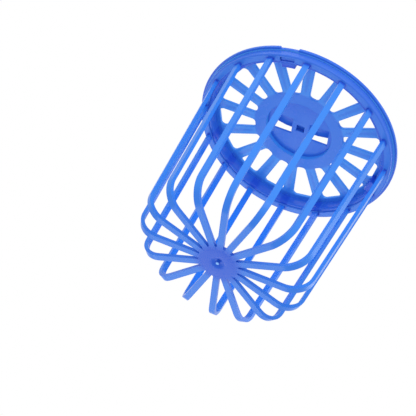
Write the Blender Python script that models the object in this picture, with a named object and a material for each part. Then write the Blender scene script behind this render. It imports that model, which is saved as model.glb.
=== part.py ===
"""Hanging food basket for cage birds: a ribbed basket with a slotted lid that twists on.

Metres, +Z up. The origin is at the middle of the flat bottom, the hanging bar lies along X,
and the lid turns about Z.
"""
import math

import bmesh
import bpy
from mathutils import Matrix, Vector

# Basket sizes
RIM_RADIUS = 0.0485
WALL_THICKNESS = 0.0009
FLOOR_WIDTH = 0.0036
FLOOR_THICKNESS = 0.0010
BASKET_DEPTH = 0.0897
RIB_COUNT = 16
RIB_WIDTH = 0.0029
RIB_THICKNESS = 0.0017
RIB_CORNER = 0.0004
RIB_INSET = 0.0011
WALL_TAPER = 0.0060
BEND_RADIUS = 0.0102
HUB_MARGIN = 0.0012
HUB_THICKNESS = 0.0020
DIMPLE_RADIUS = 0.0030
DIMPLE_DEPTH = 0.0004
NUB_RADIUS = 0.0008
NUB_SINK = 0.0001

# Twist lock sizes
LOCK_COUNT = 3
LOCK_FIRST_DEG = 18.0
LUG_HALF_DEG = 4.4
LUG_THICKNESS = 0.0009
LUG_LIFT = 0.0001
LUG_ROOT_MARGIN = 0.0002
LEDGE_HALF_DEG = 5.3
LEDGE_REACH = 0.0017
LEDGE_THICKNESS = 0.0007
LEDGE_DROP = 0.0001
SLOT_MARGIN = 0.0002
SLOT_RIB_GAP = 0.0005
REBATE_TURN_DEG = 41.0
REBATE_HALF_DEG = 6.75
REBATE_WIDTH = 0.0007
REBATE_WEB = 0.0003

# Lid sizes
BRIM_OVERHANG = 0.0015
BRIM_THICKNESS = 0.0015
SKIRT_THICKNESS = 0.0014
PLATE_RISE = 0.0024
PLATE_THICKNESS = 0.0015
NOTCH_HALF_DEG = 5.15
NOTCH_DEPTH = 0.0008
RING_WIDTH = 0.0018
WEB_WIDTH = 0.0049
SPOKE_INNER_WIDTH = 0.0047
SPOKE_OUTER_WIDTH = 0.0055
SPOKE_RIDGE = 0.00025
WINDOW_CORNER = 0.0017
CORNER_LIMIT_SHARE = 0.45
CORNER_MARGIN = 0.0002
RECESS_MARGIN = 0.0016
RECESS_DEPTH = 0.0022
BOSS_WALL = 0.0012
BOSS_THICKNESS = 0.0012
EDGE_CHAMFER = 0.0003

# Hanging bar sizes
CORE_LENGTH = 0.0039
CORE_WIDTH = 0.0035
CORE_DEPTH = 0.0018
CORE_WALL = 0.00235
SLIT_LENGTH = 0.0100
SLIT_HALF_WIDTH = 0.0045
SLIT_MARGIN = 0.0004
ARM_THICKNESS = 0.0025
ARM_FLAT = 0.0040
ARM_RISE = 0.0012
ARM_CORNER = 0.0007
WIRE_GAP = 0.0025

# Fits and working values
SEAT_GAP = 0.0003
RUN_GAP = 0.0003
OVERRUN = 0.0010
WELD = 0.000001
RIM_SEGMENTS = 96
HUB_SEGMENTS = 48
ARC_STEP_DEG = 3.75
CORNER_STEPS = 3
BEND_STEPS = 8
SHARP_DEG = 35.0

# Basket heights and radii, worked out from the sizes above
FLOOR_INNER = RIM_RADIUS - FLOOR_WIDTH
FLOOR_TOP = BASKET_DEPTH + FLOOR_THICKNESS
WALL_INNER = RIM_RADIUS - WALL_THICKNESS
RIB_TOP_RADIUS = FLOOR_INNER + RIB_INSET
FOOT_RADIUS = RIB_TOP_RADIUS - WALL_TAPER
HUB_RADIUS = RIB_WIDTH / 2 / math.tan(math.pi / RIB_COUNT) + HUB_MARGIN
SKIRT_BOTTOM = FLOOR_TOP + RUN_GAP
LUG_BOTTOM = SKIRT_BOTTOM + LUG_LIFT
LUG_TOP = LUG_BOTTOM + LUG_THICKNESS
LEDGE_BOTTOM = LUG_TOP + RUN_GAP
LEDGE_TOP = LEDGE_BOTTOM + LEDGE_THICKNESS
RIM_TOP = LEDGE_TOP + LEDGE_DROP

# Lid heights and radii
LID_RADIUS = RIM_RADIUS + BRIM_OVERHANG
SKIRT_RADIUS = FLOOR_INNER - RUN_GAP
SKIRT_INNER = SKIRT_RADIUS - SKIRT_THICKNESS
LUG_RADIUS = WALL_INNER - RUN_GAP
BRIM_BOTTOM = RIM_TOP + SEAT_GAP
BRIM_TOP = BRIM_BOTTOM + BRIM_THICKNESS
PLATE_BOTTOM = BRIM_BOTTOM + PLATE_RISE
PLATE_TOP = PLATE_BOTTOM + PLATE_THICKNESS
SLIT_INNER = CORE_LENGTH / 2 + CORE_WALL
SLIT_OUTER = SLIT_INNER + SLIT_LENGTH
RECESS_RADIUS = math.hypot(SLIT_OUTER, SLIT_HALF_WIDTH) + RECESS_MARGIN
BOSS_RADIUS = RECESS_RADIUS + BOSS_WALL
BOSS_BOTTOM = PLATE_BOTTOM + RECESS_DEPTH
BOSS_TOP = BOSS_BOTTOM + BOSS_THICKNESS
WINDOW_INNER_RADIUS = BOSS_RADIUS + WEB_WIDTH
WINDOW_OUTER_RADIUS = SKIRT_INNER - RING_WIDTH
WEB_RADIUS = WINDOW_INNER_RADIUS + WINDOW_CORNER + CORNER_MARGIN
RING_INNER = WINDOW_OUTER_RADIUS - WINDOW_CORNER - CORNER_MARGIN
ARM_HALF_WIDTH = SLIT_HALF_WIDTH - SLIT_MARGIN
ARM_TIP = SLIT_OUTER - SLIT_MARGIN
ARM_BOTTOM = BOSS_TOP + WIRE_GAP
ARM_TOP = ARM_BOTTOM + ARM_THICKNESS
RIB_PITCH_DEG = 360.0 / RIB_COUNT
LOCK_PITCH_DEG = 360.0 / LOCK_COUNT
AXIS = Vector((0, 0, 1))

# Colours, as linear values
BASKET_BLUE = (0.070, 0.215, 0.790)
LID_BLUE = (0.055, 0.175, 0.700)
PLASTIC_ROUGHNESS = 0.38


def clear_scene():
    """Removes whatever the scene holds."""
    for thing in list(bpy.data.objects):
        bpy.data.objects.remove(thing, do_unlink=True)


def plastic(name, colour):
    """One sub-part's own plastic."""
    material = bpy.data.materials.new(name + "_plastic")
    material.use_nodes = True
    shader = material.node_tree.nodes["Principled BSDF"]
    shader.inputs["Base Color"].default_value = (*colour, 1.0)
    shader.inputs["Roughness"].default_value = PLASTIC_ROUGHNESS
    shader.inputs["Metallic"].default_value = 0.0
    return material


def closed_mesh(name, bm):
    """Turns a finished bmesh into a mesh with its faces outwards."""
    bmesh.ops.remove_doubles(bm, verts=bm.verts, dist=WELD)
    bmesh.ops.recalc_face_normals(bm, faces=bm.faces)
    mesh = bpy.data.meshes.new(name)
    bm.to_mesh(mesh)
    bm.free()
    mesh.shade_smooth()
    mesh.set_sharp_from_angle(angle=math.radians(SHARP_DEG))
    return mesh


def placed(name, mesh, colour, parent=None, turn_deg=0.0):
    """Adds one sub-part, turned about the axis."""
    thing = bpy.data.objects.new(name, mesh)
    bpy.context.scene.collection.objects.link(thing)
    thing.rotation_euler = (0, 0, math.radians(turn_deg))
    thing.parent = parent
    thing.data.materials.append(plastic(name, colour))
    return thing


def helper(name, bm):
    """Adds a hidden shape that a Boolean cuts or joins."""
    guide = bpy.data.objects.new(name, closed_mesh(name, bm))
    bpy.context.scene.collection.objects.link(guide)
    guide.hide_render = True
    guide.display_type = "WIRE"
    return guide


def combine(thing, guide, operation):
    """Cuts or joins a hidden shape."""
    step = thing.modifiers.new(guide.name, "BOOLEAN")
    step.operation = operation
    step.solver = "EXACT"
    step.object = guide


def turned(profile, segments):
    """Spins a closed outline of (radius, height) points about the axis."""
    bm = bmesh.new()
    verts = [bm.verts.new((radius, 0, height)) for radius, height in profile]
    edges = [bm.edges.new((verts[i - 1], verts[i])) for i in range(len(verts))]
    bmesh.ops.spin(bm, geom=verts + edges, cent=(0, 0, 0), axis=AXIS,
                   angle=math.tau, steps=segments, use_merge=True)
    bmesh.ops.remove_doubles(bm, verts=bm.verts, dist=WELD)
    bmesh.ops.dissolve_degenerate(bm, edges=bm.edges, dist=WELD)
    loose = [edge for edge in bm.edges if not edge.link_faces]
    bmesh.ops.delete(bm, geom=loose, context="EDGES")
    return bm


def swept(bm, sections):
    """Extrudes the first section's face through all the others."""
    start = bm.faces.new([bm.verts.new(point) for point in sections[0]])
    face = start
    for section in sections[1:]:
        grown = bmesh.ops.extrude_face_region(bm, geom=[face])
        if face is not start:
            bmesh.ops.delete(bm, geom=[face], context="FACES_ONLY")
        face = next(item for item in grown["geom"] if isinstance(item, bmesh.types.BMFace))
        for vert, point in zip(list(face.verts), section):
            vert.co = point


def prism(bm, outline, bottom, top):
    """Raises a flat outline of (x, y) points between two heights."""
    swept(bm, [[(x, y, height) for x, y in outline] for height in (bottom, top)])


def polar(radius, angle_deg):
    """A point at a radius and an angle, in plan."""
    angle = math.radians(angle_deg)
    return (radius * math.cos(angle), radius * math.sin(angle))


def sector(bm, inner, outer, bottom, top, start_deg, end_deg):
    """Adds a block bounded by two arcs about the axis."""
    steps = max(1, round((end_deg - start_deg) / ARC_STEP_DEG))
    angles = [start_deg + (end_deg - start_deg) * i / steps for i in range(steps + 1)]
    outline = [polar(outer, angle) for angle in angles]
    outline += [polar(inner, angle) for angle in reversed(angles)]
    prism(bm, outline, bottom, top)


def lock_angles():
    """The middle of each bayonet lug when the lid is locked."""
    return [LOCK_FIRST_DEG + LOCK_PITCH_DEG * i for i in range(LOCK_COUNT)]


def rounded(corners, radius, steps):
    """An outline whose corners are arcs of one radius."""
    outline = []
    count = len(corners)
    for i, corner in enumerate(corners):
        here = Vector(corner)
        back = (Vector(corners[i - 1]) - here).normalized()
        ahead = (Vector(corners[(i + 1) % count]) - here).normalized()
        half = math.acos(max(-1.0, min(1.0, back.dot(ahead)))) / 2
        centre = here + (back + ahead).normalized() * (radius / math.sin(half))
        first = here + back * (radius / math.tan(half)) - centre
        last = here + ahead * (radius / math.tan(half)) - centre
        swing = first.angle_signed(last)
        for k in range(steps + 1):
            outline.append(tuple(centre + Matrix.Rotation(-swing * k / steps, 2) @ first))
    return outline


def rib_path():
    """Centre-line of a rib as (radius, height), from the hub to the rim, with each point's mitre."""
    level = RIB_THICKNESS / 2
    start = Vector((HUB_RADIUS + SEAT_GAP, level))
    corner = Vector((FOOT_RADIUS, level))
    end = Vector((RIB_TOP_RADIUS, BASKET_DEPTH - SEAT_GAP))
    along = (end - corner).normalized()
    turn = math.atan2(along.y, along.x)
    setback = BEND_RADIUS * math.tan(turn / 2)
    centre = corner + Vector((-setback, BEND_RADIUS))
    path = [(start, Vector((0, 1)))]
    for i in range(BEND_STEPS + 1):
        angle = turn * i / BEND_STEPS
        inwards = Vector((-math.sin(angle), math.cos(angle)))
        path.append((centre - inwards * BEND_RADIUS, inwards))
    path.append((end, Vector((-1 / math.sin(turn), 0))))
    return path


def rib_section(point, inwards):
    """Rounded rectangle across the rib at one point of its path."""
    across = RIB_WIDTH / 2
    deep = RIB_THICKNESS / 2
    shape = [(across - RIB_CORNER, -deep), (across, -deep + RIB_CORNER),
             (across, deep - RIB_CORNER), (across - RIB_CORNER, deep)]
    shape += [(-side, depth) for side, depth in reversed(shape)]
    return [(point.x + inwards.x * depth, side, point.y + inwards.y * depth) for side, depth in shape]


def build_ribs():
    """Sixteen bent ribs, each a wall run, a bend and a run along the bottom."""
    bm = bmesh.new()
    swept(bm, [rib_section(point, inwards) for point, inwards in rib_path()])
    shape = closed_mesh("rib", bm)
    for i in range(RIB_COUNT):
        placed(f"rib_{i + 1:02d}", shape.copy(), BASKET_BLUE, turn_deg=RIB_PITCH_DEG * i)


def build_basket_hub():
    """Disc where the ribs meet, with a dimple and the moulding's gate nub beneath."""
    profile = [(0, HUB_THICKNESS),
               (HUB_RADIUS - RIB_CORNER, HUB_THICKNESS),
               (HUB_RADIUS, HUB_THICKNESS - RIB_CORNER),
               (HUB_RADIUS, RIB_CORNER),
               (HUB_RADIUS - RIB_CORNER, 0),
               (DIMPLE_RADIUS + DIMPLE_DEPTH, 0),
               (DIMPLE_RADIUS, DIMPLE_DEPTH),
               (NUB_RADIUS, DIMPLE_DEPTH),
               (NUB_RADIUS, NUB_SINK),
               (0, NUB_SINK)]
    placed("basket_hub", closed_mesh("basket_hub", turned(profile, HUB_SEGMENTS)), BASKET_BLUE)


def slot_span(middle_deg):
    """The stretch of floor under a ledge that is clear of the ribs' tops."""
    keep_off = math.degrees((RIB_WIDTH / 2 + SLOT_RIB_GAP) / FLOOR_INNER)
    low = middle_deg - LEDGE_HALF_DEG
    high = middle_deg + LEDGE_HALF_DEG
    rib = RIB_PITCH_DEG * round(middle_deg / RIB_PITCH_DEG)
    if rib > middle_deg:
        high = min(high, rib - keep_off)
    else:
        low = max(low, rib + keep_off)
    return low, high


def build_basket_rim():
    """Flanged rim: a floor and an outer wall, with ledges, slots and rebates for the twist lock."""
    profile = [(RIM_RADIUS - EDGE_CHAMFER, BASKET_DEPTH),
               (RIM_RADIUS, BASKET_DEPTH + EDGE_CHAMFER),
               (RIM_RADIUS, RIM_TOP),
               (WALL_INNER, RIM_TOP),
               (WALL_INNER, FLOOR_TOP),
               (FLOOR_INNER, FLOOR_TOP),
               (FLOOR_INNER, BASKET_DEPTH)]
    rim = placed("basket_rim", closed_mesh("basket_rim", turned(profile, RIM_SEGMENTS)), BASKET_BLUE)
    ledges = bmesh.new()
    cuts = bmesh.new()
    for middle in lock_angles():
        sector(ledges, WALL_INNER - LEDGE_REACH, WALL_INNER + WALL_THICKNESS / 2,
               LEDGE_BOTTOM, LEDGE_TOP, middle - LEDGE_HALF_DEG, middle + LEDGE_HALF_DEG)
        low, high = slot_span(middle)
        sector(cuts, FLOOR_INNER - OVERRUN, WALL_INNER - SLOT_MARGIN,
               BASKET_DEPTH - OVERRUN, FLOOR_TOP + OVERRUN / 2, low, high)
        opened = middle + REBATE_TURN_DEG
        sector(cuts, FLOOR_INNER - OVERRUN, FLOOR_INNER + REBATE_WIDTH,
               BASKET_DEPTH - OVERRUN, FLOOR_TOP - REBATE_WEB,
               opened - REBATE_HALF_DEG, opened + REBATE_HALF_DEG)
    combine(rim, helper("rim_cuts", cuts), "DIFFERENCE")
    combine(rim, helper("rim_ledges", ledges), "UNION")


def spoke_half_width(radius):
    """Half the width of a spoke at a radius, on its straight sides."""
    share = (radius - WINDOW_INNER_RADIUS) / (WINDOW_OUTER_RADIUS - WINDOW_INNER_RADIUS)
    return (SPOKE_INNER_WIDTH + (SPOKE_OUTER_WIDTH - SPOKE_INNER_WIDTH) * share) / 2


def window_corners():
    """Corners of the first window, which lies between the first two spokes."""
    corners = []
    for radius in (WINDOW_INNER_RADIUS, WINDOW_OUTER_RADIUS):
        edge = math.degrees(math.asin(spoke_half_width(radius) / radius))
        corners.append((polar(radius, edge), polar(radius, RIB_PITCH_DEG - edge)))
    (inner_low, inner_high), (outer_low, outer_high) = corners
    return [inner_low, outer_low, outer_high, inner_high]


def window_cutter(name):
    """All the windows between the spokes, as one hidden cutter."""
    bm = bmesh.new()
    corners = window_corners()
    narrow_end = (Vector(corners[0]) - Vector(corners[-1])).length
    radius = min(WINDOW_CORNER, narrow_end * CORNER_LIMIT_SHARE)
    outline = rounded(corners, radius, CORNER_STEPS)
    for i in range(RIB_COUNT):
        spin = Matrix.Rotation(math.radians(RIB_PITCH_DEG * i), 2)
        prism(bm, [tuple(spin @ Vector(point)) for point in outline],
              PLATE_BOTTOM - OVERRUN / 2, PLATE_TOP + OVERRUN / 2)
    return helper(name, bm)


def build_lid_rim(parent):
    """Brim, crown wall and outer ring in one turned shape, with the lugs, notches and windows."""
    profile = [(RING_INNER, PLATE_TOP),
               (SKIRT_RADIUS - EDGE_CHAMFER, PLATE_TOP),
               (SKIRT_RADIUS, PLATE_TOP - EDGE_CHAMFER),
               (SKIRT_RADIUS, BRIM_TOP),
               (LID_RADIUS - EDGE_CHAMFER, BRIM_TOP),
               (LID_RADIUS, BRIM_TOP - EDGE_CHAMFER),
               (LID_RADIUS, BRIM_BOTTOM + EDGE_CHAMFER),
               (LID_RADIUS - EDGE_CHAMFER, BRIM_BOTTOM),
               (SKIRT_RADIUS, BRIM_BOTTOM),
               (SKIRT_RADIUS, SKIRT_BOTTOM),
               (SKIRT_INNER, SKIRT_BOTTOM),
               (SKIRT_INNER, PLATE_BOTTOM),
               (RING_INNER, PLATE_BOTTOM)]
    rim = placed("lid_rim", closed_mesh("lid_rim", turned(profile, RIM_SEGMENTS)), LID_BLUE, parent)
    lugs = bmesh.new()
    notches = bmesh.new()
    buried = SKIRT_THICKNESS / 2
    for middle in lock_angles():
        low = middle - LUG_HALF_DEG
        high = middle + LUG_HALF_DEG
        sector(lugs, SKIRT_RADIUS - buried, LUG_RADIUS, LUG_BOTTOM, LUG_TOP, low, high)
        sector(notches, LID_RADIUS - NOTCH_DEPTH, LID_RADIUS + OVERRUN, BRIM_BOTTOM - OVERRUN,
               BRIM_TOP + OVERRUN, middle - NOTCH_HALF_DEG, middle + NOTCH_HALF_DEG)
    combine(rim, helper("lid_lugs", lugs), "UNION")
    blocks = bmesh.new()
    for middle in lock_angles():
        sector(blocks, WINDOW_OUTER_RADIUS + LUG_ROOT_MARGIN, SKIRT_INNER + buried, LUG_BOTTOM,
               PLATE_BOTTOM + PLATE_THICKNESS / 2, middle - LUG_HALF_DEG, middle + LUG_HALF_DEG)
    combine(rim, helper("lid_lug_roots", blocks), "UNION")
    combine(rim, helper("lid_notches", notches), "DIFFERENCE")
    combine(rim, window_cutter("rim_windows"), "DIFFERENCE")


def build_lid_spokes(parent):
    """Sixteen flat spokes, a little wider outwards, with a faint ridge along the underside."""
    sections = []
    for radius in (WEB_RADIUS + SEAT_GAP, RING_INNER - SEAT_GAP):
        half = spoke_half_width(radius)
        sections.append([(radius, -half, PLATE_TOP), (radius, -half, PLATE_BOTTOM + SPOKE_RIDGE),
                         (radius, 0, PLATE_BOTTOM), (radius, half, PLATE_BOTTOM + SPOKE_RIDGE),
                         (radius, half, PLATE_TOP)])
    bm = bmesh.new()
    swept(bm, sections)
    shape = closed_mesh("lid_spoke", bm)
    for i in range(RIB_COUNT):
        placed(f"lid_spoke_{i + 1:02d}", shape.copy(), LID_BLUE, parent, RIB_PITCH_DEG * i)


def rectangle(low_x, high_x, half_y):
    """Corners of a rectangle that lies across the X axis."""
    return [(low_x, -half_y), (high_x, -half_y), (high_x, half_y), (low_x, half_y)]


def build_lid_hub(parent):
    """Raised middle of the lid, hollow beneath, with the bar's two windows and a square core."""
    profile = [(0, BOSS_TOP),
               (BOSS_RADIUS - EDGE_CHAMFER, BOSS_TOP),
               (BOSS_RADIUS, BOSS_TOP - EDGE_CHAMFER),
               (BOSS_RADIUS, PLATE_TOP),
               (WEB_RADIUS, PLATE_TOP),
               (WEB_RADIUS, PLATE_BOTTOM),
               (RECESS_RADIUS, PLATE_BOTTOM),
               (RECESS_RADIUS, BOSS_BOTTOM),
               (0, BOSS_BOTTOM)]
    hub = placed("lid_hub", closed_mesh("lid_hub", turned(profile, HUB_SEGMENTS)), LID_BLUE, parent)
    cuts = bmesh.new()
    bottom = BOSS_BOTTOM - OVERRUN
    top = BOSS_TOP + OVERRUN
    prism(cuts, rectangle(SLIT_INNER, SLIT_OUTER, SLIT_HALF_WIDTH), bottom, top)
    prism(cuts, rectangle(-SLIT_OUTER, -SLIT_INNER, SLIT_HALF_WIDTH), bottom, top)
    prism(cuts, rectangle(-CORE_LENGTH / 2, CORE_LENGTH / 2, CORE_WIDTH / 2), bottom, top)
    combine(hub, helper("hub_cuts", cuts), "DIFFERENCE")
    combine(hub, window_cutter("hub_windows"), "DIFFERENCE")


def build_hanging_bar(parent):
    """T-shaped bar that is passed between two cage wires and turned, so that they lie under its arms."""
    foot = BOSS_TOP + SEAT_GAP
    side = [(SLIT_INNER, foot), (SLIT_INNER, ARM_BOTTOM), (SLIT_INNER + ARM_FLAT, ARM_BOTTOM),
            (ARM_TIP, ARM_BOTTOM + ARM_RISE), (ARM_TIP, ARM_TOP)]
    side += [(-x, z) for x, z in reversed(side)]
    bm = bmesh.new()
    swept(bm, [[(x, y, z) for x, z in side] for y in (-ARM_HALF_WIDTH, ARM_HALF_WIDTH)])
    corners = [edge for edge in bm.edges
               if all(abs(vert.co.x) > ARM_TIP - WELD for vert in edge.verts)
               and abs(edge.verts[0].co.z - edge.verts[1].co.z) > WELD]
    bmesh.ops.bevel(bm, geom=corners, offset=ARM_CORNER, segments=CORNER_STEPS,
                    affect="EDGES", profile=0.5)
    bar = placed("hanging_bar", closed_mesh("hanging_bar", bm), LID_BLUE, parent)
    core = bmesh.new()
    prism(core, rectangle(-CORE_LENGTH / 2, CORE_LENGTH / 2, CORE_WIDTH / 2), foot - OVERRUN,
          foot + CORE_DEPTH)
    combine(bar, helper("bar_core", core), "DIFFERENCE")


def lid_axis():
    """The empty on the twist axis that carries the lid."""
    axis = bpy.data.objects.new("lid_axis", None)
    bpy.context.scene.collection.objects.link(axis)
    return axis


def main():
    """Builds the basket, then the lid."""
    clear_scene()
    build_basket_rim()
    build_ribs()
    build_basket_hub()
    axis = lid_axis()
    build_lid_rim(axis)
    build_lid_spokes(axis)
    build_lid_hub(axis)
    build_hanging_bar(axis)


main()
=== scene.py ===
"""Hanging food basket: a moulded ribbed basket and its slotted twist-on lid.

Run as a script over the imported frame. Metres, +Z up, the lid turns about Z.
"""
import math

import bmesh
import bpy
from bpy.props import FloatProperty, FloatVectorProperty, IntProperty, PointerProperty
from mathutils import Matrix, Vector


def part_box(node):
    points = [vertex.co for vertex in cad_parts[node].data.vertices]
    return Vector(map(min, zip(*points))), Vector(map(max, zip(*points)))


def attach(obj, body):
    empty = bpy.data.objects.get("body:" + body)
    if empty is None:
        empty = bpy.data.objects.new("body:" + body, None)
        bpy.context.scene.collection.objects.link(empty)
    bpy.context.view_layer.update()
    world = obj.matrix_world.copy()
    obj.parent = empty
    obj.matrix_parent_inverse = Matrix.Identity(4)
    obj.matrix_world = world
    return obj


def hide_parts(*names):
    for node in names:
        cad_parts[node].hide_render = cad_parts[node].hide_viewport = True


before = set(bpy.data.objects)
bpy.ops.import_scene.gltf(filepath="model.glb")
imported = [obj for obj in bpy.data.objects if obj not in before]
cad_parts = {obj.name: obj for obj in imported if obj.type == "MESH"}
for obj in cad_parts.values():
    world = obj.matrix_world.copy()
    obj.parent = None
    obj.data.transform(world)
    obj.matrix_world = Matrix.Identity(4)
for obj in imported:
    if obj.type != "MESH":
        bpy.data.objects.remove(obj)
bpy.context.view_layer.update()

bl_info = {
    "name": "Hanging Food Basket",
    "version": (1, 0, 0),
    "blender": (4, 5, 0),
    "location": "View3D > Sidebar > Food Basket",
    "description": "Moulds a ribbed food basket and its twist-on lid over a packed frame",
    "category": "Object",
}

AXIS = Vector((0, 0, 1))
RIB_COUNT = 16
RIB_PITCH = 360.0 / RIB_COUNT
RING_STEPS = RIB_COUNT * 12
WELD = 0.000002
SHARP_DEG = 38.0

# Places that the frame gives
RIM_LOW, RIM_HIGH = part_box("basket_rim")
HUB_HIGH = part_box("basket_hub")[1]
CROWN_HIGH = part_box("lid_rim")[1]
BOSS_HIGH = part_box("lid_hub")[1]
BAR_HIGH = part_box("hanging_bar")[1]

# Basket places
RIM_RADIUS = RIM_HIGH.x
RIM_TOP = RIM_HIGH.z + 0.00022
BASKET_DEPTH = RIM_LOW.z
FLOOR_TOP = BASKET_DEPTH + 0.0010
FLOOR_INNER = RIM_RADIUS - 0.0036
WALL_INNER = RIM_RADIUS - 0.0009
SLOT_OUTER = WALL_INNER - 0.0002
RIB_TOP_RADIUS = FLOOR_INNER + 0.0011
FOOT_RADIUS = RIB_TOP_RADIUS - 0.0060
HUB_RADIUS = HUB_HIGH.x
HUB_TOP = HUB_HIGH.z
LEDGE_BOTTOM = 0.0923
LEDGE_TOP = 0.0930

HOLE_EDGE = 0.0003
REBATE_DEPTH = 0.0004
LEDGE_REACH = 0.0017
LEDGE_ROUNDING = 0.00012
RIB_BURIED = 0.0006
RIB_LIFT = 0.0003
WEB_EDGE = 0.0003

# How far a form reaches into the one that it is moulded on
BURIED = 0.0004

# Gate nub under the basket's hub, and the spot where the painted shade of a pit lies beside it
NUB = (-0.0003, 0.0006)
NUB_RADII = (0.0008, 0.0010)
NUB_HEIGHT = 0.0013
NUB_MIDDLE = 0.00072
NUB_ROUNDING = 0.0002
PAINTED_PIT_SPOT = (0.0004, -0.0017)
PAINTED_PIT_HEIGHT = 0.0004
DISH_FLAT = 0.0004
DISH_SLOPE = 0.0036
DISH_STEPS = 10

# Lid places
LID_RADIUS = CROWN_HIGH.x
SKIRT_BOTTOM = FLOOR_TOP - 0.0003
LUG_BOTTOM = FLOOR_TOP + 0.0001
LUG_TOP = LUG_BOTTOM + 0.0011
SKIRT_RADIUS = FLOOR_INNER - 0.00004
FOOT_TAPER = 0.00055
SKIRT_INNER = SKIRT_RADIUS - 0.0016
BRIM_BOTTOM = RIM_HIGH.z + 0.0003
BRIM_TOP = BRIM_BOTTOM + 0.0015
PLATE_TOP = CROWN_HIGH.z
PLATE_BOTTOM = PLATE_TOP - 0.0015
LUG_RADIUS = SLOT_OUTER - 0.00005
BOSS_TOP = BOSS_HIGH.z
BOSS_BOTTOM = BOSS_TOP - 0.0012
BOSS_RADIUS = 0.01779
RECESS_RADIUS = BOSS_RADIUS - 0.0012
GRILLE_INNER = 0.0190
GRILLE_OUTER = SKIRT_INNER - 0.0004
STEM_HALF = 0.0043
ARM_HALF = 0.0041
ARM_TIP = BAR_HIGH.x
ARM_TOP = BAR_HIGH.z
ARM_BOTTOM = ARM_TOP - 0.0025
SLIT_OUTER = 0.0143
SLIT_HALF = 0.0045
CORE_HALF_LENGTH = 0.00195
CORE_HALF_WIDTH = 0.00175
CORE_DEPTH = 0.0009
CORE_DRAFT = 0.00001
ARM_FLAT = 0.0040
ARM_RISE = 0.0012
SKIRT_ROUNDING = 0.00005
FOOT_ROUNDING = 0.00015
COLLAR_ROUNDING = 0.00025
LUG_ROUNDING = 0.00006

# Twist lock, as angles about the axis, with the one notch and the one slot that the photograph shows
LOCK_ANGLES = (18.0, 138.0, 258.0)
LUG_HALF = 4.4
LEDGE_HALF = 5.3
NOTCH_HALF = 5.15
NOTCH_DEPTH = 0.0008
COLLAR_STEP = 0.00005
SLOT_SPAN = (253.55, 262.45)
REBATE_SPANS = ((-67.75, -54.25), (52.25, 65.75), (172.25, 185.75))

# Radii at which the plastic's colour changes
HUB_SHADE = 0.0074
BOSS_SHADE = 0.0170
SPOKE_START = 0.0236
SPOKE_END = 0.0410
SKIRT_SHADE = 0.0431

# How far the ribs' walls lean out over their height, and the radius of their inward faces at the ground
RIB_LEAN = 0.0675
RIB_FACE = 0.0396

# How deep the colour is in each place, from 0 in thin plastic to 1 in thick. Where the ribs meet the rim, and
# in the lid's skirt, foot, root and ring, the depth is painted shade. The step and under entries take depth
# away, as painted light that makes shaded faces paler
BASKET_SHADE = {"rim": 0.24, "wall": 0.36, "hub": 0.84, "run": 0.20, "painted_joint_shadow": 0.75}
LID_SHADE = {"plate": 0.46, "boss": 0.12, "skirt": 0.60, "foot": 0.14, "brim": 0.72, "root": 0.25,
             "spoke": 0.26, "ring": 0.30}
LID_PAINTED_LIGHT = {"step": 0.85, "under": 0.50}
BASE_SHADE = 0.04
# How much painted sheen the basket's rim gets
RIM_PAINTED_SHEEN = 0.38
# How far the ribs' inward faces go towards their painted reflection colour
PAINTED_INWARD_REFLECTION_WEIGHT = 0.70

# Colours that the depth of colour doesn't give: a painted sheen, a painted reflection on the ribs' inward
# faces, the painted shade of a pit, and the nub's paler tip
PAINTED_SHEEN_COLOUR = (0.045, 0.045, 0.030, 1.0)
PAINTED_INWARD_REFLECTION = (0.016, 0.215, 0.905, 1.0)
PAINTED_PIT_SHADE = (0.003, 0.045, 0.420, 1.0)
NUB_COLOUR = (0.20, 0.44, 0.88, 1.0)

# Scale and detail of the noises in the plastic, from pigment clouds to mould grain
NOISES = ((70.0, 3.0), (420.0, 2.0), (1500.0, 1.0))

# The stage, with the floor's fade as two radii
FLOOR_RADIUS = 3.0
FLOOR_DROP = 0.0003
FLOOR_FADE = (0.12, 0.42)
FLOOR_COLOURS = ((0.86, 0.86, 0.86, 1), (0.90, 0.90, 0.90, 1))
LAMP_AIM = (0, 0, 0.055)

# The photograph's viewpoint
CAMERA_PLACE = (0.12421662, -0.44224182, -0.37711607)
CAMERA_RIGHT = (0.90876368, -0.08366430, 0.40883842)
CAMERA_DOWN = (0.34832856, 0.69160346, -0.63273364)
CAMERA_AHEAD = (-0.22981685, 0.71741546, 0.65764677)


class BasketSizes(bpy.types.PropertyGroup):
    """What a user may change on the basket."""

    rib_width: FloatProperty(
        name="Rib Width", description="Width of a rib across its outer face",
        default=0.0029, min=0.0015, max=0.0033, unit="LENGTH")
    rib_thickness: FloatProperty(
        name="Rib Thickness", description="Thickness of a rib, from its outer to its inner face",
        default=0.0017, min=0.0010, max=0.0020, unit="LENGTH")
    rib_rounding: FloatProperty(
        name="Rib Rounding", description="Radius of the ribs' long edges",
        default=0.00036, min=0.0001, max=0.0007, unit="LENGTH")
    bend_radius: FloatProperty(
        name="Bend Radius", description="Radius of each rib's bend at the bottom",
        default=0.0102, min=0.004, max=0.016, unit="LENGTH")
    rim_rounding: FloatProperty(
        name="Rim Rounding", description="Radius of the rim's edges",
        default=0.00020, min=0.00005, max=0.0004, unit="LENGTH")
    flange_rounding: FloatProperty(
        name="Flange Rounding", description="Radius of the rim's outer edge at the bottom",
        default=0.0007, min=0.0002, max=0.0009, unit="LENGTH")
    web_depth: FloatProperty(
        name="Web Depth", description="How far the hub reaches out between two ribs",
        default=0.0012, min=0.0, max=0.0015, unit="LENGTH")
    dish_depth: FloatProperty(
        name="Dish Depth", description="Depth of the dish under the hub, with the gate's nub in it",
        default=0.0009, min=0.0, max=0.0013, unit="LENGTH")
    colour: FloatVectorProperty(
        name="Basket Colour", description="Colour of the basket's plastic where it is thin",
        subtype="COLOR", size=3, min=0.0, max=1.0, default=(0.040, 0.220, 0.770))
    deep_colour: FloatVectorProperty(
        name="Deep Basket Colour", description="Colour of the basket's plastic where it is thick",
        subtype="COLOR", size=3, min=0.0, max=1.0, default=(0.012, 0.080, 0.600))


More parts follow.
